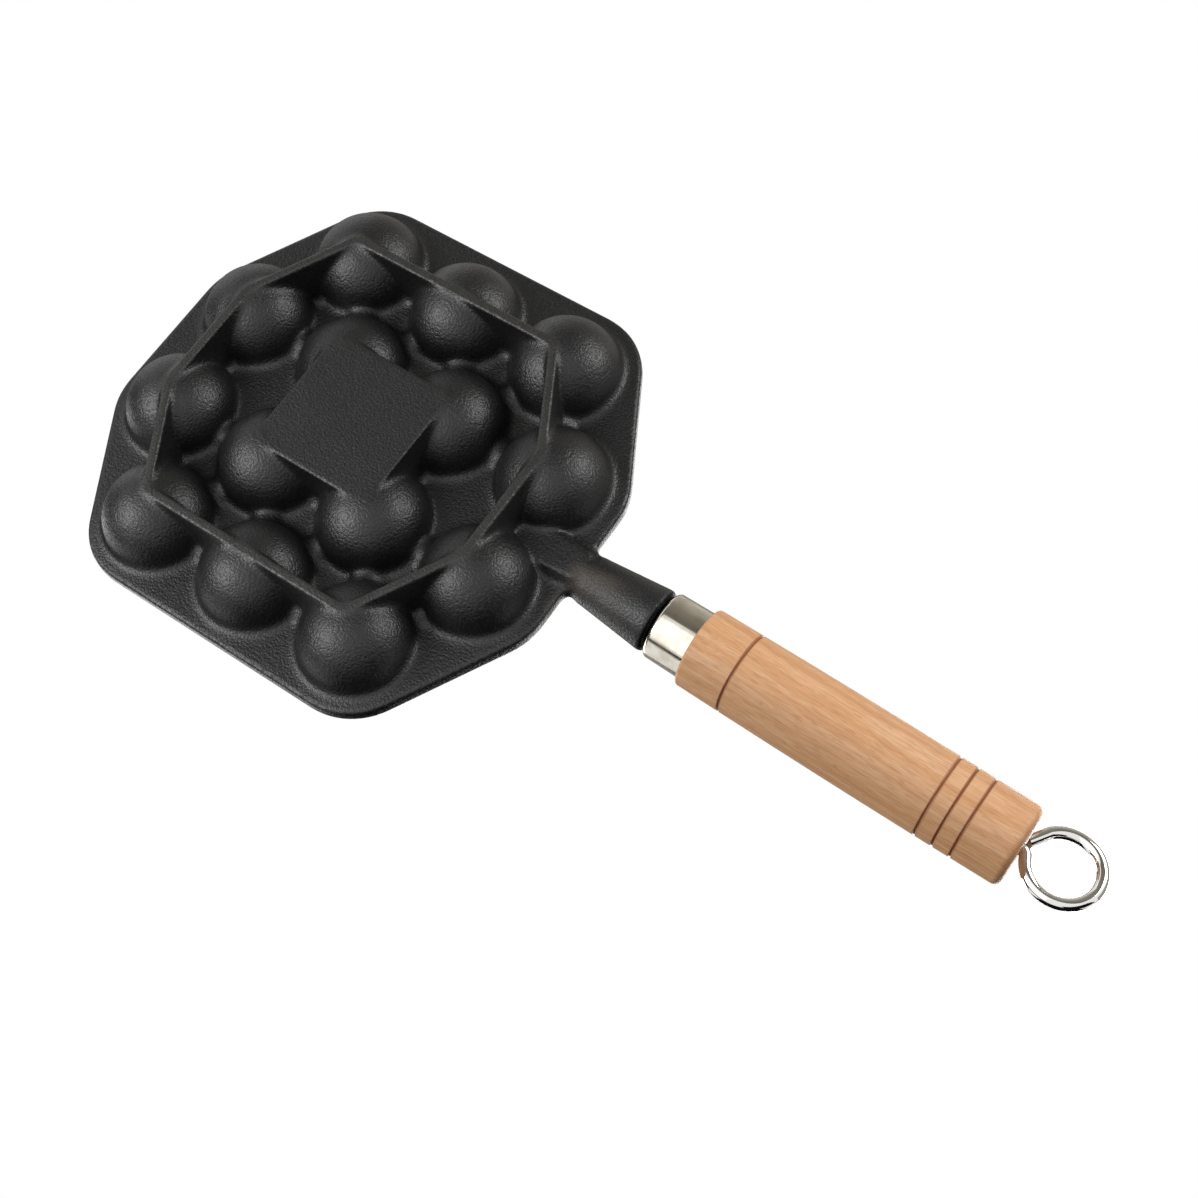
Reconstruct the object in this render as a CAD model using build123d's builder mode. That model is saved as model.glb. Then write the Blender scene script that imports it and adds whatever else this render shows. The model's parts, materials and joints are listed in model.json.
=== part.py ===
from build123d import *
from itertools import combinations
from math import asin, cos, degrees, hypot, isclose, pi, radians, sin, sqrt
import os

# Cast-iron pan with half-ball cups, standing on its foot ring, its handle screwed to it.
# Origin: centre of the foot ring, on the surface that it stands on.
# +X runs out along the handle, +Z points up out of the cups. Millimetres.

# Cups
cup_pitch = 42.0          # centre to centre, along a row and between touching neighbours
middle_row_cups = 4       # in each of the two rows beside the middle line
side_row_cups = 3         # in each of the two outer rows, nested between the others
cup_radius = 16.2
cup_wall = 2.7
mouth_rounding = 1.4
dome_fillet = 3.0         # between a dome and the underside of the plate
saddle_width = 11.0       # low bar that joins two neighbouring domes
saddle_height = 3.4       # below the underside of the plate
crossing = 0.05           # how far a rounding runs past the face that it blends into

# Plate and its raised lip
plate_thickness = 3.2
edge_margin = 25.0        # from the centres of the outermost cups to the plate's edge
lip_height = 1.8
lip_width = 4.0
lip_slope = 8.0           # degrees, inner side of the lip
lip_rounding = 0.8
tray_rounding = 1.2
rim_rounding = 1.5

# Foot ring, through the centres of the outermost cups
ring_width = 3.4
ring_proud = 0.4          # outer face beyond the cup centres
ring_draft = 2.0          # degrees
ring_stand = 0.5          # foot below the bottoms of the domes
ring_corner = 5.0
ring_edge = 0.5

# Square pad in the middle of the underside
pad_length = 48.0
pad_width = 47.0
pad_recess = 0.15         # face above the bottoms of the domes
pad_corner = 2.5
pad_draft = 1.5           # degrees
pad_edge = 0.4

# Stem, cast with the plate, and the web that carries it under the plate
handle_tilt = 6.0         # degrees, the handle rises outwards
stem_rise = 3.5           # axis above the plate's underside, at the plate's edge
stem_length = 30.5        # from the plate's edge to the stem's end
stem_waist = 8.6          # radius
stem_waist_end = 6.0      # where the stem begins to widen
stem_end_radius = 11.1
stem_nose = 4.0           # how far the stem's rounded root reaches in over the lip
stem_end_rounding = 2.4
neck_width = 14.0
neck_length = 9.0
neck_corner = 4.0
web_width = 14.4          # at the foot ring
web_end_width = 9.4
web_end_corner = 3.0
web_height = 4.0
web_length = 3.0          # past the plate's edge
web_draft = 32.0          # degrees
web_rounding = 1.4

# Eye rod: one steel rod with a screwed tip and a bent hanging eye
rod_radius = 2.0
thread_pitch = 0.7
thread_turns = 10         # turns held in the stem
thread_fit = 0.05         # radial
hole_end_room = 2.0       # hole deeper than the rod's tip
tip_chamfer = 0.4
bore_clearance = 0.4      # radial, rod in the ferrule and the grip
eye_radius = 11.6         # to the middle of the wire
eye_reach = 13.3          # from the grip's end to the eye's centre
eye_offset = 1.8          # eye's centre beside the rod's axis
eye_bend = 3.0            # radius where the rod turns into the eye, and the eye into its tail
eye_roll = 11.3           # degrees, how far the eye is turned about the rod
tail_start = 136.0        # degrees round the eye, where its straight tail turns off
tail_turn = 12.0          # degrees
tail_length = 7.5
tail_gap = 0.4            # to the grip's end, which the tail's cut end lies along

# Ferrule: drawn sleeve with a closed front
ferrule_length = 13.7
ferrule_front_radius = 11.4
ferrule_back_radius = 11.6
ferrule_wall = 0.7
ferrule_face = 1.0
ferrule_rounding = 1.6
ferrule_gap = 0.2         # to the stem's end
press_gap = 0.05          # radial, tenon in the ferrule

# Grip: turned wood with a tenon
grip_length = 115.0       # without the tenon
grip_front_radius = 13.5
grip_middle_radius = 13.9
grip_rear_radius = 13.6
grip_front_rounding = 1.0
grip_rear_rounding = 2.6
tenon_room = 0.4          # between the tenon's end and the ferrule's face
groove_radius = 0.5       # round-bottomed, as deep as its radius
front_groove = 16.1       # from the grip's shoulder
rear_grooves = 3
rear_groove_pitch = 6.1
last_groove = 16.5        # from the grip's end
bore_chamfer = 0.6

# Places that follow from the sizes
dome_radius = cup_radius + cup_wall
underside_z = ring_stand + dome_radius
root_z = underside_z + plate_thickness / 2
cooking_z = underside_z + plate_thickness
top_z = cooking_z + lip_height
middle_row_y = cup_pitch / 2
side_row_y = middle_row_y + cup_pitch * sqrt(3) / 2
middle_row_x = (middle_row_cups - 1) * cup_pitch / 2
side_row_x = (side_row_cups - 1) * cup_pitch / 2
edge_x = middle_row_x + edge_margin
outer_cups = [
    (side_row_x, side_row_y), (-side_row_x, side_row_y),
    (-middle_row_x, middle_row_y), (-middle_row_x, -middle_row_y),
    (-side_row_x, -side_row_y), (side_row_x, -side_row_y),
    (middle_row_x, -middle_row_y), (middle_row_x, middle_row_y),
]
middle_cups = GridLocations(cup_pitch, 2 * middle_row_y, middle_row_cups, 2)
side_cups = GridLocations(cup_pitch, 2 * side_row_y, side_row_cups, 2)

# The handle's plane: local x along the handle from the plate's edge, local y up
tilt = radians(handle_tilt)
handle = Plane(
    origin=(edge_x, 0, underside_z + stem_rise),
    x_dir=(cos(tilt), 0, sin(tilt)),
    z_dir=(0, -1, 0),
)
handle_axis = Axis(handle.origin, handle.x_dir)
ferrule_start = stem_length + ferrule_gap
shoulder = ferrule_start + ferrule_length
grip_end = shoulder + grip_length
thread_length = thread_pitch * thread_turns
hole_radius = rod_radius + thread_fit
bore_radius = rod_radius + bore_clearance
tenon_radius = ferrule_front_radius - ferrule_wall - press_gap
tenon_start = ferrule_start + ferrule_face + tenon_room


# One dome: a half ball that flares out into the underside of the plate
flare_drop = dome_fillet - crossing
flare_z = underside_z - flare_drop
flare_reach = dome_radius + dome_fillet
flare_x = sqrt(flare_reach**2 - flare_drop**2)
touch_angle = asin(flare_drop / flare_reach)
touch = (dome_radius * cos(touch_angle), underside_z - dome_radius * sin(touch_angle))
ball_angle = (touch_angle + pi / 2) / 2
flare_angle = (pi - touch_angle + pi / 2) / 2
with BuildPart() as dome:
    with BuildSketch(Plane.XZ):
        with BuildLine():
            ThreePointArc(
                (0, underside_z - dome_radius),
                (dome_radius * cos(ball_angle), underside_z - dome_radius * sin(ball_angle)),
                touch,
            )
            ThreePointArc(
                touch,
                (flare_x + dome_fillet * cos(flare_angle), flare_z + dome_fillet * sin(flare_angle)),
                (flare_x, flare_z + dome_fillet),
            )
            Polyline(
                (flare_x, flare_z + dome_fillet),
                (flare_x, root_z),
                (0, root_z),
                (0, underside_z - dome_radius),
            )
        make_face()
    revolve(axis=Axis.Z)

# Saddles: each low round-backed bar runs under the plate from one dome into its neighbour
cup_places = [spot.position for spot in list(middle_cups) + list(side_cups)]
with BuildPart() as saddles:
    for first, second in combinations(cup_places, 2):
        span = second - first
        if isclose(span.length, cup_pitch):
            start = Plane(
                origin=(first.X, first.Y, underside_z),
                x_dir=Vector(0, 0, 1).cross(span),
                z_dir=span,
            )
            with BuildSketch(start):
                with BuildLine():
                    ThreePointArc((-saddle_width / 2, 0), (0, -saddle_height), (saddle_width / 2, 0))
                    Polyline(
                        (saddle_width / 2, 0),
                        (saddle_width / 2, root_z - underside_z),
                        (-saddle_width / 2, root_z - underside_z),
                        (-saddle_width / 2, 0),
                    )
                make_face()
            extrude(amount=span.length)

# The inside of one cup, with a rounded mouth, as a cutter
half_way = pi / 4
mouth_x = cup_radius + mouth_rounding
mouth_z = cooking_z - mouth_rounding + crossing
with BuildPart() as cup:
    with BuildSketch(Plane.XZ):
        with BuildLine():
            ThreePointArc(
                (0, underside_z - cup_radius),
                (cup_radius * cos(half_way), underside_z - cup_radius * sin(half_way)),
                (cup_radius, underside_z),
            )
            Line((cup_radius, underside_z), (cup_radius, mouth_z))
            ThreePointArc(
                (cup_radius, mouth_z),
                (mouth_x - mouth_rounding * cos(half_way), mouth_z + mouth_rounding * sin(half_way)),
                (mouth_x, mouth_z + mouth_rounding),
            )
            Polyline(
                (mouth_x, mouth_z + mouth_rounding),
                (mouth_x, top_z + lip_height),
                (0, top_z + lip_height),
                (0, underside_z - cup_radius),
            )
        make_face()
    revolve(axis=Axis.Z)

# Foot ring: an eight-sided wall with a little draft, rounded at the foot
with BuildPart() as foot_ring:
    with BuildSketch():
        Polygon(*outer_cups, align=None)
        offset(amount=ring_proud, kind=Kind.INTERSECTION)
        fillet(vertices(), radius=ring_corner)
    extrude(amount=root_z, taper=-ring_draft)
    with BuildSketch():
        Polygon(*outer_cups, align=None)
        offset(amount=ring_proud - ring_width, kind=Kind.INTERSECTION)
        fillet(vertices(), radius=ring_corner - ring_width / 2)
    extrude(amount=root_z, taper=ring_draft, mode=Mode.SUBTRACT)
    fillet(edges().group_by(Axis.Z)[0], radius=ring_edge)

# Pad: a plain square block between the four middle domes
pad_z = ring_stand + pad_recess
with BuildPart() as pad:
    with BuildSketch(Plane.XY.offset(pad_z)):
        RectangleRounded(pad_length, pad_width, pad_corner)
    extrude(amount=root_z - pad_z, taper=-pad_draft)
    fillet(edges().group_by(Axis.Z)[0], radius=pad_edge)

# Web: carries the stem's root across the underside, narrowing outwards from the foot ring
web_z = underside_z - web_height
web_end = edge_x + web_length
with BuildPart() as web:
    with BuildSketch(Plane.XY.offset(web_z)):
        Polygon(
            (middle_row_x, -web_width / 2), (web_end, -web_end_width / 2),
            (web_end, web_end_width / 2), (middle_row_x, web_width / 2),
            align=None,
        )
        fillet(vertices().group_by(Axis.X)[-1], radius=web_end_corner)
    extrude(amount=root_z - web_z, taper=-web_draft)
    fillet(edges().group_by(Axis.Z)[0], radius=web_rounding)

# Stem: round, with a rounded root, widening to its end
with BuildPart() as stem:
    with BuildSketch(handle):
        with BuildLine():
            EllipticalCenterArc(
                (stem_waist_end, 0), stem_waist_end + stem_nose, stem_waist,
                start_angle=90, arc_size=90,
            )
            Polyline(
                (stem_waist_end, stem_waist),
                (stem_length, stem_end_radius),
                (stem_length, 0),
                (-stem_nose, 0),
            )
        make_face()
    revolve(axis=handle_axis)
    fillet(faces().sort_by(handle_axis)[-1].edges(), radius=stem_end_rounding)

with BuildPart() as tapped_hole:
    with BuildSketch(handle):
        with Locations((stem_length - (thread_length + hole_end_room) / 2, hole_radius / 2)):
            Rectangle(thread_length + hole_end_room, hole_radius)
    revolve(axis=handle_axis)

# The casting
with BuildPart() as pan:
    with BuildSketch(Plane.XY.offset(underside_z)):
        Polygon(*outer_cups, align=None)
        offset(amount=edge_margin, kind=Kind.ARC)
        with Locations((edge_x + (neck_length - lip_width) / 2, 0)):
            Rectangle(neck_length + lip_width, neck_width)
        inner_corners = vertices().filter_by_position(Axis.Y, -neck_width, neck_width)
        fillet(inner_corners.group_by(Axis.X)[-2], radius=neck_corner)
    extrude(amount=plate_thickness + lip_height)
    with BuildSketch(Plane.XY.offset(cooking_z)):
        Polygon(*outer_cups, align=None)
        offset(amount=edge_margin - lip_width, kind=Kind.ARC)
    extrude(amount=lip_height, taper=-lip_slope, mode=Mode.SUBTRACT)
    fillet(edges().group_by(Axis.Z)[0], radius=rim_rounding)
    fillet(edges().group_by(Axis.Z)[-1], radius=lip_rounding)
    tray_edges = edges().filter_by_position(Axis.Z, cooking_z, cooking_z)
    fillet(tray_edges, radius=tray_rounding)
    add(web.part)
    add(stem.part)
    add(foot_ring.part)
    add(pad.part)
    add(saddles.part)
    with middle_cups:
        add(dome.part)
    with side_cups:
        add(dome.part)
    with middle_cups:
        add(cup.part, mode=Mode.SUBTRACT)
    with side_cups:
        add(cup.part, mode=Mode.SUBTRACT)
    add(tapped_hole.part, mode=Mode.SUBTRACT)

# Ferrule
with BuildPart() as ferrule:
    with BuildSketch(handle):
        with BuildLine():
            Polyline(
                (ferrule_start, bore_radius),
                (ferrule_start, ferrule_front_radius),
                (shoulder, ferrule_back_radius),
                (shoulder, ferrule_back_radius - ferrule_wall),
                (ferrule_start + ferrule_face, ferrule_front_radius - ferrule_wall),
                (ferrule_start + ferrule_face, bore_radius),
                close=True,
            )
        make_face()
        face_corner = vertices().sort_by_distance((ferrule_start, ferrule_front_radius))[0]
        fillet(face_corner, radius=ferrule_rounding)
    revolve(axis=handle_axis)


def grip_radius(distance):
    """Outer radius of the grip at a distance from its shoulder."""
    share = distance / grip_length
    ends = grip_front_radius * (1 - share) + grip_rear_radius * share
    swell = grip_middle_radius - (grip_front_radius + grip_rear_radius) / 2
    return ends + 4 * swell * share * (1 - share)


# Grip: a slightly swollen handle on a tenon, with turned grooves
groove_places = [front_groove]
for turn in range(rear_grooves):
    groove_places.append(grip_length - last_groove - turn * rear_groove_pitch)
with BuildPart() as grip:
    with BuildSketch(handle):
        with BuildLine():
            ThreePointArc(
                (shoulder, grip_front_radius),
                (shoulder + grip_length / 2, grip_middle_radius),
                (grip_end, grip_rear_radius),
            )
            Polyline(
                (grip_end, grip_rear_radius),
                (grip_end, bore_radius),
                (tenon_start, bore_radius),
                (tenon_start, tenon_radius),
                (shoulder, tenon_radius),
                (shoulder, grip_front_radius),
            )
        make_face()
        rear_corner = vertices().sort_by_distance((grip_end, grip_rear_radius))[0]
        fillet(rear_corner, radius=grip_rear_rounding)
        front_corner = vertices().sort_by_distance((shoulder, grip_front_radius))[0]
        fillet(front_corner, radius=grip_front_rounding)
        bore_mouth = vertices().sort_by_distance((grip_end, bore_radius))[0]
        chamfer(bore_mouth, length=bore_chamfer)
    revolve(axis=handle_axis)
    with BuildSketch(handle):
        for place in groove_places:
            with Locations((shoulder + place, grip_radius(place))):
                Circle(groove_radius)
    revolve(axis=handle_axis, mode=Mode.SUBTRACT)

# Eye rod: its plane holds the rod's axis, turned by the eye's roll
roll = radians(eye_roll)
along = Vector(handle.x_dir)
up = Vector(handle.y_dir)
across = Vector(0, 1, 0)
lead_angle = asin((eye_offset + eye_bend) / (eye_radius + eye_bend))
bend_start = eye_reach - (eye_radius + eye_bend) * cos(lead_angle)
rod_start = stem_length - thread_length - grip_end
eye_plane = Plane(
    origin=handle.from_local_coords((grip_end, 0, 0)),
    x_dir=along,
    z_dir=up * -cos(roll) - across * sin(roll),
)
lead = degrees(lead_angle)
eye_turn = (tail_start + 180 - lead) / 2
tail_angle = radians(tail_start)
tail_end_angle = radians(tail_start + tail_turn)
tail_x = eye_reach + (eye_radius - eye_bend) * cos(tail_angle)
tail_y = eye_offset + (eye_radius - eye_bend) * sin(tail_angle)
straight_x = tail_x + eye_bend * cos(tail_end_angle)
straight_y = tail_y + eye_bend * sin(tail_end_angle)
end_x = straight_x - tail_length * sin(tail_end_angle)
end_y = straight_y + tail_length * cos(tail_end_angle)
with BuildPart() as eye_rod:
    with BuildLine(eye_plane) as rod_path:
        Line((rod_start, 0), (bend_start, 0))
        CenterArc((bend_start, -eye_bend), eye_bend, start_angle=90, arc_size=lead - 90)
        CenterArc((eye_reach, eye_offset), eye_radius, start_angle=180 + lead, arc_size=eye_turn)
        CenterArc((eye_reach, eye_offset), eye_radius, start_angle=180 + lead + eye_turn, arc_size=eye_turn)
        CenterArc((tail_x, tail_y), eye_bend, start_angle=tail_start, arc_size=tail_turn)
        Line((straight_x, straight_y), (end_x, end_y))
    with BuildSketch(Plane(origin=rod_path.wire() @ 0, z_dir=along)):
        Circle(rod_radius)
    sweep()
    with BuildSketch(eye_plane):
        with Locations((tail_gap, rod_radius + tail_gap)):
            Rectangle(tail_length, tail_length, align=(Align.MAX, Align.MIN))
    extrude(amount=2 * rod_radius, both=True, mode=Mode.SUBTRACT)
    tip = faces().filter_by(GeomType.PLANE).sort_by(handle_axis)[0]
    chamfer(tip.edges(), length=tip_chamfer)

# Least gap from the tail's cut end to the rod's bend
corner_x = end_x - rod_radius * cos(tail_end_angle)
corner_y = end_y - rod_radius * sin(tail_end_angle)
eye_gap = hypot(corner_x - bend_start, corner_y + eye_bend) - eye_bend - rod_radius
print("eye's tail to rod, least gap", round(eye_gap, 2))
print("rod travel", thread_length, "mm in", thread_turns, "turns")
print("handle axis", handle_axis)

pan.part.label = "pan_casting"
ferrule.part.label = "ferrule"
grip.part.label = "wooden_grip"
eye_rod.part.label = "eye_rod"
os.makedirs("parts", exist_ok=True)
export_step(pan.part, "parts/pan_casting.step")
export_step(ferrule.part, "parts/ferrule.step")
export_step(grip.part, "parts/wooden_grip.step")
export_step(eye_rod.part, "parts/eye_rod.step")
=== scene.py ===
"""Looks of a cast-iron ball pan with a turned beech handle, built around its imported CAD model."""
import json
import logging
from dataclasses import dataclass, field
from enum import Enum
from typing import Any

import bpy
import numpy as np
from mathutils import Matrix, Vector


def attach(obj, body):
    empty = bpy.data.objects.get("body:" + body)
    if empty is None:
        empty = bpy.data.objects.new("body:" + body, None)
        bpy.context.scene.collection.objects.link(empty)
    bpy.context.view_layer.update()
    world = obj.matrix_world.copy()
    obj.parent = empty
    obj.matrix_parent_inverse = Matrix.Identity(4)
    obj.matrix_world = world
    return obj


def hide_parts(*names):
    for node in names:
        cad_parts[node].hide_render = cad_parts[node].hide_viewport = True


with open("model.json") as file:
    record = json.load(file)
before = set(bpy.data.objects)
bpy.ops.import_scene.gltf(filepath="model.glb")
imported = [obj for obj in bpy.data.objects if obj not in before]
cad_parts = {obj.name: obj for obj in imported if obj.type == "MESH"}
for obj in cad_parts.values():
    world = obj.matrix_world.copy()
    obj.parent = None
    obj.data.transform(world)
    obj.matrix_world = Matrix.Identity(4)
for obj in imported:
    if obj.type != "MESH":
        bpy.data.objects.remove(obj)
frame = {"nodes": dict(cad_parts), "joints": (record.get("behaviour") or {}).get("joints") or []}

log = logging.getLogger("pan_scene")
MM = 0.001
# A noise's factor, which runs from 0 to 1, seldom leaves this range
NOISE_LOW, NOISE_HIGH = 0.3, 0.7

Colour = tuple[float, float, float, float]
Stops = list[tuple[float, Colour]]


class Ray(Enum):
    """The kinds of ray that see the white background; all others see the plain soft light."""

    CAMERA = "Is Camera Ray"
    GLOSSY = "Is Glossy Ray"
    TRANSMISSION = "Is Transmission Ray"


def linear(hex_colour: str) -> Colour:
    """Turn an sRGB hex colour into Blender's linear colour.

    Args:
        hex_colour: Colour as "#rrggbb".

    Returns:
        Linear red, green and blue, and an alpha of 1.
    """
    parts = []
    for start in (1, 3, 5):
        value = int(hex_colour[start:start + 2], 16) / 255
        parts.append(value / 12.92 if value <= 0.04045 else ((value + 0.055) / 1.055) ** 2.4)
    return (parts[0], parts[1], parts[2], 1.0)


def add_node(
    tree: bpy.types.NodeTree,
    kind: str,
    inputs: dict[str | int, Any] | None = None,
    stops: Stops | None = None,
    **settings: Any,
) -> bpy.types.Node:
    """Add one node with its settings, socket values and links.

    Args:
        tree: Node tree that the node joins.
        kind: Blender's type name of the node.
        inputs: Socket name or index, to a value or to the output socket that feeds it.
        stops: Positions and colours of a colour ramp's stops.
        settings: Attributes of the node itself.

    Returns:
        The new node.
    """
    node = tree.nodes.new(kind)
    for name, value in settings.items():
        setattr(node, name, value)
    for key, value in (inputs or {}).items():
        if isinstance(value, bpy.types.NodeSocket):
            tree.links.new(value, node.inputs[key])
        else:
            node.inputs[key].default_value = value
    if stops:
        elements = node.color_ramp.elements
        while len(elements) < len(stops):
            elements.new(1.0)
        for element, (position, colour) in zip(elements, stops):
            element.position = position
            element.color = colour
    return node


def new_material(name: str) -> tuple[bpy.types.Material, bpy.types.NodeTree]:
    """Make an empty node material.

    Args:
        name: Name of the material.

    Returns:
        The material and its cleared node tree.
    """
    material = bpy.data.materials.new(name)
    material.use_nodes = True
    material.node_tree.nodes.clear()
    return material, material.node_tree


def dress(piece: bpy.types.Object, material: bpy.types.Material) -> None:
    """Give a piece one material in every slot.

    Args:
        piece: Mesh object.
        material: Its finish.
    """
    if not piece.material_slots:
        piece.data.materials.append(material)
    for slot in piece.material_slots:
        slot.material = material


def grey(level: float) -> Colour:
    """Return a grey of the given linear level for a ramp that makes a factor."""
    return (level, level, level, 1.0)


def add_band(
    tree: bpy.types.NodeTree,
    length: bpy.types.NodeSocket,
    places_mm: tuple[float, ...],
    levels: tuple[float, ...],
) -> bpy.types.NodeSocket:
    """Add nodes that turn a length into a factor, level by level.

    Args:
        tree: Node tree of the material.
        length: Socket with a length in metres.
        places_mm: Lengths at which the factor is known, rising.
        levels: The factor at each of them.

    Returns:
        The socket with the factor.
    """
    first, last = places_mm[0], places_mm[-1]
    share = add_node(
        tree, "ShaderNodeMapRange",
        {"Value": length, "From Min": first * MM, "From Max": last * MM},
    ).outputs["Result"]
    stops = [
        ((place - first) / (last - first), grey(level))
        for place, level in zip(places_mm, levels)
    ]
    return add_node(tree, "ShaderNodeValToRGB", {0: share}, stops).outputs["Color"]


@dataclass(frozen=True)
class Line:
    """The handle's axis: a point on it at the stem's foot, and its unit direction."""

    point: Vector
    direction: Vector

    def local(self, tree: bpy.types.NodeTree) -> bpy.types.NodeSocket:
        """Add nodes that give a place along and around the axis, X along it, in metres.

        Args:
            tree: Node tree of the material.

        Returns:
            The vector socket.
        """
        turn = self.direction.rotation_difference(Vector((1, 0, 0)))
        place = add_node(tree, "ShaderNodeTexCoord").outputs["Object"]
        return add_node(
            tree, "ShaderNodeMapping",
            {"Vector": place, "Location": -(turn @ self.point), "Rotation": turn.to_euler()},
        ).outputs["Vector"]


@dataclass(frozen=True)
class SandCastIron:
    """Iron cast in green sand and baked black.

    The sand leaves a fine even grain that sparkles under a soft box, over slow dents a few
    millimetres wide. The baked coat is a semi-matte charcoal, rubbed browner and brighter where
    the foot ring stands, on edges that touch things and in a scuffed patch under the stem's root.
    Where the stem's rounded end meets the sleeve, the iron is painted near-black with little shine,
    as painted shade for the crevice.

    The scuffed patch lies at scuff_mm along the handle's axis, with scuff_levels there, and at
    scuff_reach_mm from the axis towards scuff_side, with reach_levels there.
    """

    name: str = "sand_cast_iron_baked_black"
    coat: str = "#0b0b0c"
    coat_pale: str = "#111112"
    cloud_mm: float = 18.0
    rubbed: str = "#222120"
    scuffed: str = "#433c33"
    grain_mm: float = 0.8
    grain_depth_mm: float = 0.25
    dent_mm: float = 7.0
    dent_depth_mm: float = 0.10
    foot_mm: float = 0.7
    foot_full_mm: float = 0.21
    edge_rub: float = 0.5
    scuff_mm: tuple[float, ...] = (-4.0, 1.0, 11.0, 24.0)
    scuff_levels: tuple[float, ...] = (0.0, 0.8, 0.5, 0.0)
    scuff_side: tuple[float, float, float] = (0.0, 0.5, -0.87)
    scuff_reach_mm: tuple[float, ...] = (5.6, 8.2, 10.4, 12.0)
    reach_levels: tuple[float, ...] = (0.0, 1.0, 1.0, 0.0)
    # Near-black of the painted shade in the crevice at the stem's end, and where along the axis it
    # sets in
    painted_crevice_shade: str = "#020202"
    painted_shade_mm: tuple[float, float] = (28.6, 29.2)
    roughness: tuple[float, float] = (0.36, 0.50)
    scuff_roughness: float = 0.25
    shine: float = 0.48
    # Shine left where the crevice's shade is painted
    painted_shade_shine: float = 0.08

    def scuff(
        self, tree: bpy.types.NodeTree, axis: Line, patchy: bpy.types.NodeSocket,
    ) -> bpy.types.NodeSocket:
        """Add nodes that say how scuffed the iron is, beneath the root of the stem.

        Args:
            tree: Node tree of the material.
            axis: The handle's axis.
            patchy: Noise that breaks the patch up.

        Returns:
            The socket with the share, 0 to 1.
        """
        local = axis.local(tree)
        along = add_node(tree, "ShaderNodeSeparateXYZ", {0: local}).outputs["X"]
        patch = add_band(tree, along, self.scuff_mm, self.scuff_levels)
        reach = add_node(
            tree, "ShaderNodeVectorMath", {0: local, 1: self.scuff_side}, operation="DOT_PRODUCT",
        ).outputs["Value"]
        under = add_band(tree, reach, self.scuff_reach_mm, self.reach_levels)
        for factor in (under, patchy):
            patch = add_node(
                tree, "ShaderNodeMath", {0: patch, 1: factor}, operation="MULTIPLY",
            ).outputs[0]
        return patch

    def material(self, axis: Line) -> bpy.types.Material:
        """Build the node material.

        Args:
            axis: The handle's axis, which places the scuffed patch.

        Returns:
            The iron's material.
        """
        material, tree = new_material(self.name)
        place = add_node(tree, "ShaderNodeTexCoord").outputs["Object"]
        # Moulding sand is 0.2 to 0.4 mm; its grain is drawn at 0.8 mm, about two pixels
        grain = add_node(
            tree, "ShaderNodeTexNoise",
            {"Vector": place, "Scale": 1 / (self.grain_mm * MM), "Detail": 1.0, "Roughness": 0.6},
        ).outputs["Fac"]
        dents = add_node(
            tree, "ShaderNodeTexNoise",
            {"Vector": place, "Scale": 1 / (self.dent_mm * MM), "Detail": 2.0, "Roughness": 0.5},
        ).outputs["Fac"]
        slow = add_node(
            tree, "ShaderNodeBump",
            {"Height": dents, "Distance": self.dent_depth_mm * MM, "Strength": 1.0},
        )
        bump = add_node(
            tree, "ShaderNodeBump",
            {
                "Height": grain, "Distance": self.grain_depth_mm * MM, "Strength": 1.0,
                "Normal": slow.outputs["Normal"],
            },
        )
        cloud = add_node(
            tree, "ShaderNodeTexNoise",
            {"Vector": place, "Scale": 1 / (self.cloud_mm * MM), "Detail": 3.0},
        ).outputs["Fac"]
        coat = add_node(
            tree, "ShaderNodeValToRGB", {0: cloud},
            [(0.35, linear(self.coat)), (NOISE_HIGH, linear(self.coat_pale))],
        ).outputs["Color"]
        height = add_node(tree, "ShaderNodeSeparateXYZ", {0: place}).outputs["Z"]
        foot = add_node(
            tree, "ShaderNodeMapRange",
            {"Value": height, "From Min": self.foot_mm * MM, "From Max": self.foot_full_mm * MM},
        ).outputs["Result"]
        # Pointiness is 0.5 on flat iron and rises on outside edges
        edge = add_node(
            tree, "ShaderNodeValToRGB",
            {0: add_node(tree, "ShaderNodeNewGeometry").outputs["Pointiness"]},
            [(0.52, grey(0.0)), (0.62, grey(self.edge_rub))],
        ).outputs["Color"]
        rub = add_node(tree, "ShaderNodeMath", {0: foot, 1: edge}, operation="MAXIMUM").outputs[0]
        patchy = add_node(
            tree, "ShaderNodeValToRGB", {0: dents}, [(NOISE_LOW, grey(0.45)), (0.6, grey(1.0))],
        ).outputs["Color"]
        rub = add_node(
            tree, "ShaderNodeMath", {0: rub, 1: patchy}, operation="MULTIPLY",
        ).outputs[0]
        colour = add_node(
            tree, "ShaderNodeMix", {0: rub, 6: coat, 7: linear(self.rubbed)}, data_type="RGBA",
        ).outputs[2]
        scuff = self.scuff(tree, axis, patchy)
        colour = add_node(
            tree, "ShaderNodeMix",
            {0: scuff, 6: colour, 7: linear(self.scuffed)}, data_type="RGBA",
        ).outputs[2]
        smooth, rough_end = self.roughness
        rough = add_node(
            tree, "ShaderNodeMapRange",
            {
                "Value": grain, "From Min": NOISE_LOW, "From Max": NOISE_HIGH,
                "To Min": smooth, "To Max": rough_end,
            },
        ).outputs["Result"]
        rough = add_node(
            tree, "ShaderNodeMath",
            {0: scuff, 1: self.scuff_roughness, 2: rough}, operation="MULTIPLY_ADD",
        ).outputs[0]
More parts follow.
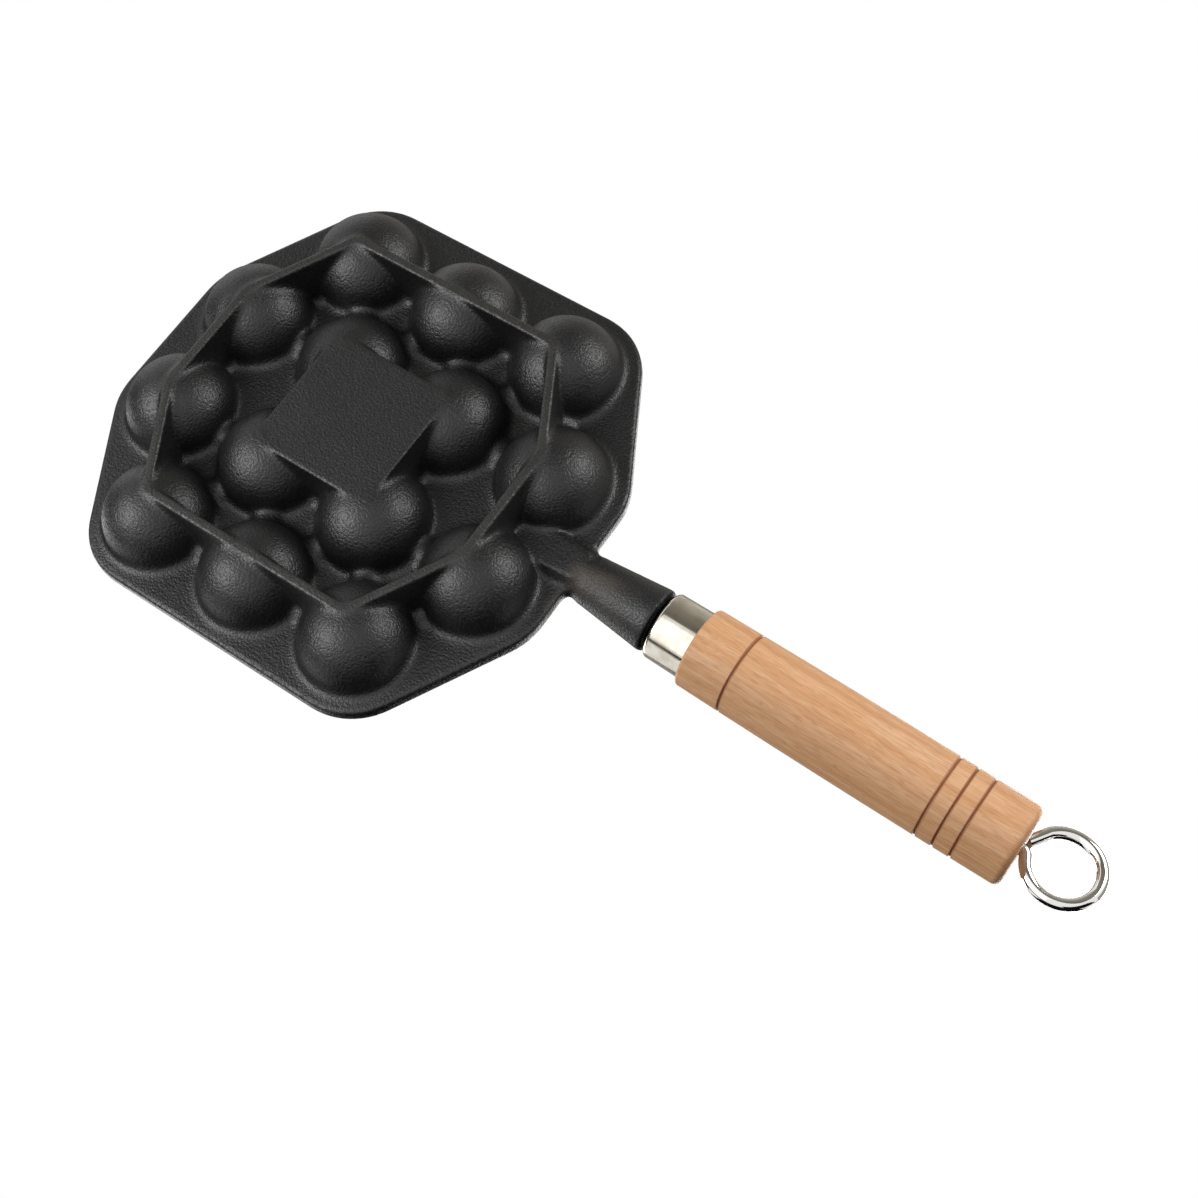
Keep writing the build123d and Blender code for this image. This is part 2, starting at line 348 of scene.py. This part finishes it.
        # Painted shade: from where the stem's rounded end meets the sleeve, the iron is painted
        # near-black and its shine is turned down, standing in for the crevice's shade
        along = add_node(tree, "ShaderNodeSeparateXYZ", {0: axis.local(tree)}).outputs["X"]
        shade_start, shade_full = self.painted_shade_mm
        painted_crevice_shade = add_node(
            tree, "ShaderNodeMapRange",
            {"Value": along, "From Min": shade_start * MM, "From Max": shade_full * MM},
        ).outputs["Result"]
        colour = add_node(
            tree, "ShaderNodeMix", {0: painted_crevice_shade, 6: colour, 7: linear(self.painted_crevice_shade)}, data_type="RGBA",
        ).outputs[2]
        shine = add_node(
            tree, "ShaderNodeMapRange",
            {"Value": painted_crevice_shade, "To Min": self.shine, "To Max": self.painted_shade_shine},
        ).outputs["Result"]
        shader = add_node(
            tree, "ShaderNodeBsdfPrincipled",
            {
                "Base Color": colour, "Roughness": rough, "Specular IOR Level": shine,
                "Normal": bump.outputs["Normal"],
            },
        )
        add_node(tree, "ShaderNodeOutputMaterial", {"Surface": shader.outputs["BSDF"]})
        return material


@dataclass(frozen=True)
class NickelPlate:
    """Drawn steel tube, nickel plated.

    Nickel is a bright metal with a warm, slightly yellow tone. The drawing leaves faint
    lengthwise lines that blur its reflections across the tube.
    """

    name: str = "drawn_steel_nickel_plated"
    body: str = "#dfdacf"
    tarnish: str = "#cec7b8"
    tarnish_mm: float = 6.0
    line_mm: float = 0.35
    line_length_mm: float = 30.0
    line_depth_mm: float = 0.006
    tarnish_roughness: float = 0.17
    roughness: float = 0.10

    def material(self, axis: Line) -> bpy.types.Material:
        """Build the node material.

        Args:
            axis: The handle's axis, which the draw lines follow.

        Returns:
            The sleeve's material.
        """
        material, tree = new_material(self.name)
        local = axis.local(tree)
        across = 1 / (self.line_mm * MM)
        along = add_node(
            tree, "ShaderNodeMapping",
            {"Vector": local, "Scale": (1 / (self.line_length_mm * MM), across, across)},
        ).outputs["Vector"]
        lines = add_node(
            tree, "ShaderNodeTexNoise", {"Vector": along, "Scale": 1.0, "Detail": 2.0},
        ).outputs["Fac"]
        bump = add_node(
            tree, "ShaderNodeBump",
            {"Height": lines, "Distance": self.line_depth_mm * MM, "Strength": 1.0},
        )
        cloud = add_node(
            tree, "ShaderNodeTexNoise",
            {"Vector": local, "Scale": 1 / (self.tarnish_mm * MM), "Detail": 3.0},
        ).outputs["Fac"]
        colour = add_node(
            tree, "ShaderNodeValToRGB", {0: cloud},
            [(0.35, linear(self.tarnish)), (0.55, linear(self.body))],
        ).outputs["Color"]
        rough = add_node(
            tree, "ShaderNodeMapRange",
            {
                "Value": cloud, "From Min": NOISE_LOW, "From Max": NOISE_HIGH,
                "To Min": self.tarnish_roughness, "To Max": self.roughness,
            },
        ).outputs["Result"]
        shader = add_node(
            tree, "ShaderNodeBsdfPrincipled",
            {
                "Base Color": colour, "Metallic": 1.0, "Roughness": rough,
                "Normal": bump.outputs["Normal"],
            },
        )
        add_node(tree, "ShaderNodeOutputMaterial", {"Surface": shader.outputs["BSDF"]})
        return material


@dataclass(frozen=True)
class ChromePlate:
    """Bent steel wire, chrome plated.

    Chrome is a near-mirror with a neutral tone. Handling leaves a faint haze in patches, and
    the wire's drawing a very slight unevenness under the plate.
    """

    name: str = "steel_wire_chrome_plated"
    body: str = "#e6e5e2"
    haze_mm: float = 4.0
    unevenness_mm: float = 0.02
    roughness: float = 0.04
    haze_roughness: float = 0.12

    def material(self) -> bpy.types.Material:
        """Build the node material.

        Returns:
            The wire's material.
        """
        material, tree = new_material(self.name)
        place = add_node(tree, "ShaderNodeTexCoord").outputs["Object"]
        haze = add_node(
            tree, "ShaderNodeTexNoise",
            {"Vector": place, "Scale": 1 / (self.haze_mm * MM), "Detail": 3.0},
        ).outputs["Fac"]
        rough = add_node(
            tree, "ShaderNodeMapRange",
            {
                "Value": haze, "From Min": 0.35, "From Max": NOISE_HIGH,
                "To Min": self.roughness, "To Max": self.haze_roughness,
            },
        ).outputs["Result"]
        bump = add_node(
            tree, "ShaderNodeBump",
            {"Height": haze, "Distance": self.unevenness_mm * MM, "Strength": 1.0},
        )
        shader = add_node(
            tree, "ShaderNodeBsdfPrincipled",
            {
                "Base Color": linear(self.body), "Metallic": 1.0, "Roughness": rough,
                "Normal": bump.outputs["Normal"],
            },
        )
        add_node(tree, "ShaderNodeOutputMaterial", {"Surface": shader.outputs["BSDF"]})
        return material


@dataclass(frozen=True)
class TurnedBeech:
    """Beech turned on a lathe, sanded and oiled.

    Beech is a pinkish tan with fine lengthwise pores and short dark ray flecks. The grooves are
    burnt brown by the tool, and the ends show end grain, which drinks oil and is darker.

    Each pattern's size is its length along the grain and its two widths across it. The places
    of the shoulder, the end and the grooves are measured along the handle's axis.
    """

    name: str = "turned_beech_oiled"
    pale: str = "#d3a780"
    middle: str = "#cb986a"
    deep: str = "#be8a60"
    fleck: str = "#96633c"
    burnt: str = "#7a3f1c"
    end_grain: str = "#b58259"
    shoulder_mm: float = 44.4
    end_mm: float = 159.4
    grooves_mm: tuple[float, ...] = (60.5, 130.7, 136.8, 142.9)
    groove_half_mm: float = 0.62
    wander_mm: float = 45.0
    wander_share: float = 0.004
    ring_mm: tuple[float, float, float] = (90.0, 2.4, 1.3)
    pore_mm: tuple[float, float, float] = (6.0, 0.3, 0.3)
    pore_depth_mm: float = 0.03
    pore_darkness: float = 0.34
    fleck_mm: tuple[float, float, float] = (4.0, 0.7, 0.7)
    fleck_darkness: float = 0.35
    end_darkness: float = 0.8
    pore_roughness: float = 0.62
    roughness: float = 0.46
    oil_ior: float = 1.47

    def groove_stops(self) -> Stops:
        """Work out where the grooves lie on the grip.

        Returns:
            Ramp stops over the grip's length, white at each groove and black between them.
        """
        length = self.end_mm - self.shoulder_mm
        stops = []
        for place in self.grooves_mm:
            middle = (place - self.shoulder_mm) / length
            half = self.groove_half_mm / length
            stops.append((middle - half, grey(0.0)))
            stops.append((middle - half / 2, grey(1.0)))
            stops.append((middle + half / 2, grey(1.0)))
            stops.append((middle + half, grey(0.0)))
        return stops

    def repeats(self, sizes_mm: tuple[float, float, float]) -> tuple[float, ...]:
        """Return how often a pattern of these sizes repeats in a metre, axis by axis."""
        return tuple(1 / (size * MM) for size in sizes_mm)

    def material(self, axis: Line) -> bpy.types.Material:
        """Build the node material.

        Args:
            axis: The handle's axis, which the grain follows.

        Returns:
            The wood's material.
        """
        material, tree = new_material(self.name)
        local = axis.local(tree)
        wander = add_node(
            tree, "ShaderNodeTexNoise",
            {"Vector": local, "Scale": 1 / (self.wander_mm * MM), "Detail": 1.0},
        ).outputs["Color"]
        bent = add_node(
            tree, "ShaderNodeMix", {0: self.wander_share, 4: local, 5: wander}, data_type="VECTOR",
        ).outputs[1]
        # Growth rings lie 2 to 3 mm apart and cut the surface as slow lengthwise bands
        ring_place = add_node(
            tree, "ShaderNodeMapping", {"Vector": bent, "Scale": self.repeats(self.ring_mm)},
        ).outputs["Vector"]
        rings = add_node(
            tree, "ShaderNodeTexNoise", {"Vector": ring_place, "Scale": 1.0, "Detail": 2.0},
        ).outputs["Fac"]
        body = add_node(
            tree, "ShaderNodeValToRGB", {0: rings},
            [(0.25, linear(self.deep)), (0.48, linear(self.middle)), (0.72, linear(self.pale))],
        ).outputs["Color"]
        # Pores are 0.1 mm wide and 1 to 3 mm long; drawn 0.3 mm wide and 6 mm long to show
        pore_place = add_node(
            tree, "ShaderNodeMapping", {"Vector": local, "Scale": self.repeats(self.pore_mm)},
        ).outputs["Vector"]
        pores = add_node(
            tree, "ShaderNodeTexNoise",
            {"Vector": pore_place, "Scale": 1.0, "Detail": 1.0, "Roughness": 0.5},
        ).outputs["Fac"]
        streak = add_node(
            tree, "ShaderNodeValToRGB", {0: pores},
            [(0.36, grey(self.pore_darkness)), (0.52, grey(0.0))],
        ).outputs["Color"]
        # Ray flecks are spindles 1 to 4 mm long on the faces cut along the rays
        fleck_place = add_node(
            tree, "ShaderNodeMapping", {"Vector": bent, "Scale": self.repeats(self.fleck_mm)},
        ).outputs["Vector"]
        flecks = add_node(
            tree, "ShaderNodeTexNoise", {"Vector": fleck_place, "Scale": 1.0, "Detail": 0.0},
        ).outputs["Fac"]
        spot = add_node(
            tree, "ShaderNodeValToRGB", {0: flecks},
            [(0.66, grey(0.0)), (0.76, grey(self.fleck_darkness))],
        ).outputs["Color"]
        dark = add_node(
            tree, "ShaderNodeMath", {0: streak, 1: spot}, operation="MAXIMUM",
        ).outputs[0]
        grained = add_node(
            tree, "ShaderNodeMix", {0: dark, 6: body, 7: linear(self.fleck)}, data_type="RGBA",
        ).outputs[2]
        along = add_node(tree, "ShaderNodeSeparateXYZ", {0: local}).outputs["X"]
        share = add_node(
            tree, "ShaderNodeMapRange",
            {"Value": along, "From Min": self.shoulder_mm * MM, "From Max": self.end_mm * MM},
        ).outputs["Result"]
        groove = add_node(
            tree, "ShaderNodeValToRGB", {0: share}, self.groove_stops(),
        ).outputs["Color"]
        burnt = add_node(
            tree, "ShaderNodeMix",
            {0: groove, 6: grained, 7: linear(self.burnt)}, data_type="RGBA",
        ).outputs[2]
        normal = add_node(tree, "ShaderNodeTexCoord").outputs["Normal"]
        facing = add_node(
            tree, "ShaderNodeVectorMath", {0: normal, 1: axis.direction}, operation="DOT_PRODUCT",
        ).outputs["Value"]
        ends = add_node(tree, "ShaderNodeMath", {0: facing}, operation="ABSOLUTE").outputs[0]
        # End grain shows from where the rounded edge turns away from the side to the flat end
        end_share = add_node(
            tree, "ShaderNodeMapRange",
            {"Value": ends, "From Min": 0.35, "From Max": 0.95, "To Max": self.end_darkness},
        ).outputs["Result"]
        colour = add_node(
            tree, "ShaderNodeMix",
            {0: end_share, 6: burnt, 7: linear(self.end_grain)}, data_type="RGBA",
        ).outputs[2]
        rough = add_node(
            tree, "ShaderNodeMapRange",
            {
                "Value": pores, "From Min": NOISE_LOW, "From Max": NOISE_HIGH,
                "To Min": self.pore_roughness, "To Max": self.roughness,
            },
        ).outputs["Result"]
        bump = add_node(
            tree, "ShaderNodeBump",
            {"Height": pores, "Distance": self.pore_depth_mm * MM, "Strength": 0.8},
        )
        shader = add_node(
            tree, "ShaderNodeBsdfPrincipled",
            {
                "Base Color": colour, "Roughness": rough, "IOR": self.oil_ior,
                "Normal": bump.outputs["Normal"],
            },
        )
        add_node(tree, "ShaderNodeOutputMaterial", {"Surface": shader.outputs["BSDF"]})
        return material


@dataclass(frozen=True)
class PhotoCamera:
    """The photograph's camera: it looks at the pan's underside from beyond the handle."""

    place: tuple[float, float, float] = (0.31613, 0.18661, -0.53265)
    aim: tuple[float, float, float] = (0.09935, 0.00533, 0.0194)
    up: tuple[float, float, float] = (-0.46922, -0.76774, -0.43636)
    lens_mm: float = 59.75
    sensor_mm: float = 36.0

    def build(self) -> bpy.types.Object:
        """Make the camera and set it as the scene's.

        Returns:
            The camera object.
        """
        data = bpy.data.cameras.new("photo_camera")
        data.lens = self.lens_mm
        data.sensor_width = self.sensor_mm
        camera = bpy.data.objects.new("photo_camera", data)
        bpy.context.scene.collection.objects.link(camera)
        back = (Vector(self.place) - Vector(self.aim)).normalized()
        right = Vector(self.up).cross(back).normalized()
        up = back.cross(right)
        turn = Matrix((right, up, back)).transposed().to_4x4()
        camera.matrix_world = Matrix.Translation(Vector(self.place)) @ turn
        bpy.context.scene.camera = camera
        return camera


@dataclass(frozen=True)
class SoftBox:
    """A square area lamp off the pan's middle; one not mirrored lights matt surfaces alone."""

    name: str
    direction: tuple[float, float, float]
    distance: float
    size: float
    power: float
    mirrored: bool = True

    def build(self, target: Vector) -> bpy.types.Object:
        """Make the lamp and turn it to the target.

        Args:
            target: Point that the lamp faces.

        Returns:
            The lamp object.
        """
        data = bpy.data.lights.new(self.name, "AREA")
        data.shape = "SQUARE"
        data.size = self.size
        data.energy = self.power
        lamp = bpy.data.objects.new(self.name, data)
        bpy.context.scene.collection.objects.link(lamp)
        lamp.visible_glossy = self.mirrored
        lamp.location = target + Vector(self.direction).normalized() * self.distance
        lamp.rotation_euler = (target - lamp.location).to_track_quat("-Z", "Y").to_euler()
        return lamp


@dataclass(frozen=True)
class Card:
    """A card beside the set, seen only in reflections, which gives polished metal its bands.

    Its tone runs from foot_colour at its lower edge to head_colour at its upper edge.
    """

    name: str
    direction: tuple[float, float, float]
    distance: float
    width: float
    height: float
    foot_colour: str
    head_colour: str
    strength: float = 1.0

    def build(self, target: Vector) -> bpy.types.Object:
        """Make the card and turn it to the target.

        Args:
            target: Point that the card faces.

        Returns:
            The card object.
        """
        mesh = bpy.data.meshes.new(self.name)
        x, y = self.width / 2, self.height / 2
        mesh.from_pydata([(-x, -y, 0), (x, -y, 0), (x, y, 0), (-x, y, 0)], [], [(0, 1, 2, 3)])
        card = bpy.data.objects.new(self.name, mesh)
        bpy.context.scene.collection.objects.link(card)
        card.location = target + Vector(self.direction).normalized() * self.distance
        card.rotation_euler = (target - card.location).to_track_quat("Z", "Y").to_euler()
        mesh.materials.append(self.material(y))
        card.visible_camera = False
        card.visible_diffuse = False
        card.visible_shadow = False
        card.visible_transmission = False
        return card

    def material(self, half_height: float) -> bpy.types.Material:
        """Build the card's own tone, which runs from its foot to its head.

        Args:
            half_height: Half the card's height, in metres.

        Returns:
            The card's material.
        """
        material, tree = new_material(self.name)
        place = add_node(tree, "ShaderNodeTexCoord").outputs["Object"]
        height = add_node(tree, "ShaderNodeSeparateXYZ", {0: place}).outputs["Y"]
        share = add_node(
            tree, "ShaderNodeMapRange",
            {"Value": height, "From Min": -half_height, "From Max": half_height},
        ).outputs["Result"]
        colour = add_node(
            tree, "ShaderNodeMix",
            {0: share, 6: linear(self.foot_colour), 7: linear(self.head_colour)}, data_type="RGBA",
        ).outputs[2]
        paper = add_node(tree, "ShaderNodeEmission", {"Color": colour, "Strength": self.strength})
        add_node(tree, "ShaderNodeOutputMaterial", {"Surface": paper.outputs["Emission"]})
        return material


@dataclass
class Studio:
    """Pale floor, white surroundings, soft boxes below and above the pan, and cards beside it."""

    middle: Vector = field(default_factory=lambda: Vector((0.06, 0.0, 0.02)))
    floor_size: float = 6.0
    floor_colour: str = "#e8e8e8"
    fade_from: float = 0.45
    fade_to: float = 1.5
    world_colour: str = "#ffffff"
    world_level: float = 0.25
    boxes: tuple[SoftBox, ...] = (
        SoftBox("box_below_left", (-0.550, 0.551, -0.608), 1.1, 0.60, 9.0),
        SoftBox("box_below_right", (0.533, -0.724, -0.422), 1.1, 0.52, 7.3),
        SoftBox("box_below_fill", (-0.04, -0.58, -0.77), 1.3, 0.9, 6.8, False),
        SoftBox("box_above", (0.2, -0.4, 1.0), 1.4, 1.0, 14.0),
        SoftBox("box_above_back", (-0.9, 0.5, 0.8), 1.5, 1.0, 8.0),
    )
    cards: tuple[Card, ...] = (
        Card("card_under", (-0.15, -0.57, -0.81), 1.5, 2.4, 1.25, "#67635b", "#8f8a80"),
        Card("card_side", (0.0, -1.0, 0.0), 1.5, 2.4, 2.0, "#8f8a80", "#dcd8cf"),
        Card("card_beyond", (0.93, 0.30, -0.10), 1.4, 1.2, 1.2, "#101010", "#101010"),
        Card("card_over", (0.42, 0.72, 0.52), 1.4, 2.0, 3.0, "#101010", "#101010"),
        Card("card_behind", (-0.35, -0.29, 0.89), 1.6, 2.6, 2.6, "#9a9792", "#9a9792"),
        Card("card_left", (-0.87, 0.48, 0.10), 1.5, 1.8, 1.8, "#55524e", "#55524e"),
        Card("card_right", (0.69, -0.63, 0.36), 1.5, 1.8, 1.8, "#a09d98", "#a09d98"),
        Card("card_strip", (-0.20, 0.97, -0.15), 1.5, 2.0, 0.30, "#3a3128", "#3a3128"),
        Card("card_white", (-0.12, 0.55, -0.83), 1.6, 1.2, 2.2, "#ffffff", "#ffffff", 1.6),
    )

    def build(self) -> None:
        """Make the floor, the world, the lamps and the cards."""
        self.build_floor()
        self.build_world()
        for box in self.boxes:
            box.build(self.middle)
        for card in self.cards:
            card.build(self.middle)

    def build_floor(self) -> bpy.types.Object:
        """Make the floor that the foot ring stands on, which fades into the white surroundings.

        The photograph looks up at the pan, so from beneath the floor is clear.

        Returns:
            The floor object.
        """
        half = self.floor_size / 2
        mesh = bpy.data.meshes.new("floor")
        corners = [(-half, -half, 0), (half, -half, 0), (half, half, 0), (-half, half, 0)]
        mesh.from_pydata(corners, [], [(0, 1, 2, 3)])
        floor = bpy.data.objects.new("floor", mesh)
        bpy.context.scene.collection.objects.link(floor)
        material, tree = new_material("painted_floor")
        beneath = add_node(tree, "ShaderNodeNewGeometry").outputs["Backfacing"]
        place = add_node(tree, "ShaderNodeTexCoord").outputs["Object"]
        reach = add_node(
            tree, "ShaderNodeVectorMath", {0: place}, operation="LENGTH",
        ).outputs["Value"]
        far = add_node(
            tree, "ShaderNodeMapRange",
            {"Value": reach, "From Min": self.fade_from, "From Max": self.fade_to},
            interpolation_type="SMOOTHSTEP",
        ).outputs["Result"]
        open_share = add_node(
            tree, "ShaderNodeMath", {0: beneath, 1: far}, operation="MAXIMUM",
        ).outputs[0]
        clear = add_node(tree, "ShaderNodeBsdfTransparent")
        paint = add_node(
            tree, "ShaderNodeBsdfPrincipled",
            {"Base Color": linear(self.floor_colour), "Roughness": 0.9, "Specular IOR Level": 0.2},
        )
        mix = add_node(
            tree, "ShaderNodeMixShader",
            {0: open_share, 1: paint.outputs["BSDF"], 2: clear.outputs["BSDF"]},
        )
        add_node(tree, "ShaderNodeOutputMaterial", {"Surface": mix.outputs["Shader"]})
        mesh.materials.append(material)
        floor.visible_diffuse = False
        floor.visible_glossy = False
        floor.visible_transmission = False
        floor.visible_shadow = False
        return floor

    def build_world(self) -> None:
        """Make the world: white to the camera and to reflections, a plain soft light otherwise."""
        world = bpy.data.worlds.new("studio_white")
        bpy.context.scene.world = world
        world.use_nodes = True
        tree = world.node_tree
        tree.nodes.clear()
        path = add_node(tree, "ShaderNodeLightPath")
        seen = path.outputs[Ray.CAMERA.value]
        for ray in (Ray.GLOSSY, Ray.TRANSMISSION):
            seen = add_node(
                tree, "ShaderNodeMath", {0: seen, 1: path.outputs[ray.value]}, operation="MAXIMUM",
            ).outputs[0]
        white_tone = linear(self.world_colour)
        light = add_node(
            tree, "ShaderNodeBackground", {"Color": white_tone, "Strength": self.world_level},
        )
        white = add_node(tree, "ShaderNodeBackground", {"Color": white_tone, "Strength": 1.0})
        mix = add_node(
            tree, "ShaderNodeMixShader",
            {0: seen, 1: light.outputs["Background"], 2: white.outputs["Background"]},
        )
        add_node(tree, "ShaderNodeOutputWorld", {"Surface": mix.outputs["Shader"]})


@dataclass
class PanCasting:
    """The iron casting: plate, cups, foot ring, pad, web and stem in one skin.

    The skin is the casting's own surface, remade in small even faces. Its inside corners are
    filled and its outside edges slightly eased, as molten iron leaves them in a sand mould.
    Each pass moves a vertex towards its neighbours' mean: fill_share of the way where that adds
    metal, and ease_share of it where that takes metal off.
    """

    axis: Line
    node: str = "pan_casting"
    body: str = "pan"
    slot: str = "black_cast_iron"
    face_mm: float = 0.6
    passes: int = 28
    fill_share: float = 0.5
    ease_share: float = 0.03
    bore_mm: float = 2.05
    bore_wall_mm: float = 0.5
    bore_guard_mm: float = 3.0
    stem_end_mm: float = 30.5
    keep_faces: float = 0.35
    finish: SandCastIron = field(default_factory=SandCastIron)

    def build(self) -> bpy.types.Object:
        """Make the skin and dress it.

        Returns:
            The skin object.
        """
        source = frame["nodes"][self.node]
        skin = bpy.data.objects.new("iron_casting", source.data.copy())
        bpy.context.scene.collection.objects.link(skin)
        skin.matrix_world = source.matrix_world
        remesh = skin.modifiers.new("even_faces", "REMESH")
        remesh.mode = "VOXEL"
        remesh.voxel_size = self.face_mm * MM
        self.settle(skin)
        self.soften(skin.data, self.box(source))
        thin = skin.modifiers.new("fewer_faces", "DECIMATE")
        thin.ratio = self.keep_faces
        self.settle(skin)
        skin.data.polygons.foreach_set("use_smooth", [True] * len(skin.data.polygons))
        dress(skin, self.finish.material(self.axis))
        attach(skin, self.body)
        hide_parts(self.node)
        log.info("%s: %d faces, %s", skin.name, len(skin.data.polygons), self.finish.name)
        return skin

    def settle(self, piece: bpy.types.Object) -> None:
        """Turn a piece's modifiers into its mesh.

        Args:
            piece: Mesh object with modifiers.
        """
        graph = bpy.context.evaluated_depsgraph_get()
        made = bpy.data.meshes.new_from_object(piece.evaluated_get(graph))
        piece.modifiers.clear()
        piece.data = made

    def box(self, source: bpy.types.Object) -> tuple[np.ndarray, np.ndarray]:
        """Measure the casting's own mesh.

        Args:
            source: The casting's node.

        Returns:
            Its lowest and its highest corner.
        """
        places = self.places(source.data)
        return places.min(axis=0), places.max(axis=0)

    def places(self, mesh: bpy.types.Mesh) -> np.ndarray:
        """Read the places of a mesh's vertices.

        Args:
            mesh: The mesh.

        Returns:
            One row of three for each vertex.
        """
        places = np.empty(len(mesh.vertices) * 3)
        mesh.vertices.foreach_get("co", places)
        return places.reshape(-1, 3)

    def soften(self, mesh: bpy.types.Mesh, box: tuple[np.ndarray, np.ndarray]) -> None:
        """Fill the inside corners and ease the edges, and keep the tapped bore round.

        Args:
            mesh: The skin's mesh.
            box: Lowest and highest corner that the skin keeps to.
        """
        places = self.places(mesh)
        count = len(places)
        pairs = np.empty(len(mesh.edges) * 2, dtype=np.int64)
        mesh.edges.foreach_get("vertices", pairs)
        first, second = pairs.reshape(-1, 2).T
        degree = np.bincount(pairs, minlength=count)[:, None]
        along, out, reach = self.around(places)
        bore = (reach < self.bore_guard_mm * MM) & (along > 0) & (along < self.stem_end_mm * MM)
        normals = np.empty(count * 3)
        for _ in range(self.passes):
            mesh.vertices.foreach_get("normal", normals)
            pull = np.empty_like(places)
            for k in range(3):
                pull[:, k] = np.bincount(first, places[second, k], count)
                pull[:, k] += np.bincount(second, places[first, k], count)
            pull = pull / degree - places
            rise = (pull * normals.reshape(-1, 3)).sum(axis=1)
            share = np.where(rise > 0, self.fill_share, self.ease_share)
            share[bore] = 0
            places += pull * share[:, None]
            mesh.vertices.foreach_set("co", places.ravel())
            mesh.update()
        wall = bore & (np.abs(reach - self.bore_mm * MM) < self.bore_wall_mm * MM)
        places[wall] += out[wall] * (self.bore_mm * MM - reach[wall])[:, None]
        places = np.clip(places, box[0], box[1])
        mesh.vertices.foreach_set("co", places.ravel())
        mesh.update()

    def around(self, places: np.ndarray) -> tuple[np.ndarray, np.ndarray, np.ndarray]:
        """Measure places against the handle's axis.

        Args:
            places: Vertex places.

        Returns:
            Distance along the axis, unit direction away from it and distance from it.
        """
        direction = np.array(self.axis.direction)
        offset = places - np.array(self.axis.point)
        along = offset @ direction
        away = offset - along[:, None] * direction
        reach = np.linalg.norm(away, axis=1)
        return along, away / np.maximum(reach, 1e-9)[:, None], reach


@dataclass
class Handle:
    """The ferrule, the turned grip and the eye rod along the handle's axis."""

    axis: Line

    def build(self) -> None:
        """Give the three pieces their finishes."""
        finishes = {
            "ferrule": NickelPlate().material(self.axis),
            "wooden_grip": TurnedBeech().material(self.axis),
            "eye_rod": ChromePlate().material(),
        }
        for node, material in finishes.items():
            dress(frame["nodes"][node], material)
            log.info("%s: %s", node, material.name)


def main() -> None:
    """Build the camera, the studio and the pan's sub-assemblies."""
    logging.basicConfig(level=logging.INFO, format="%(message)s")
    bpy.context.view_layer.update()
    PhotoCamera().build()
    Studio().build()
    bpy.context.scene.view_settings.view_transform = "Standard"
    turn = next(joint for joint in frame["joints"] if joint["type"] == "hinge")
    axis = Line(Vector(turn["pos_m"]), Vector(turn["axis"]).normalized())
    PanCasting(axis).build()
    Handle(axis).build()


if __name__ == "__main__":
    main()
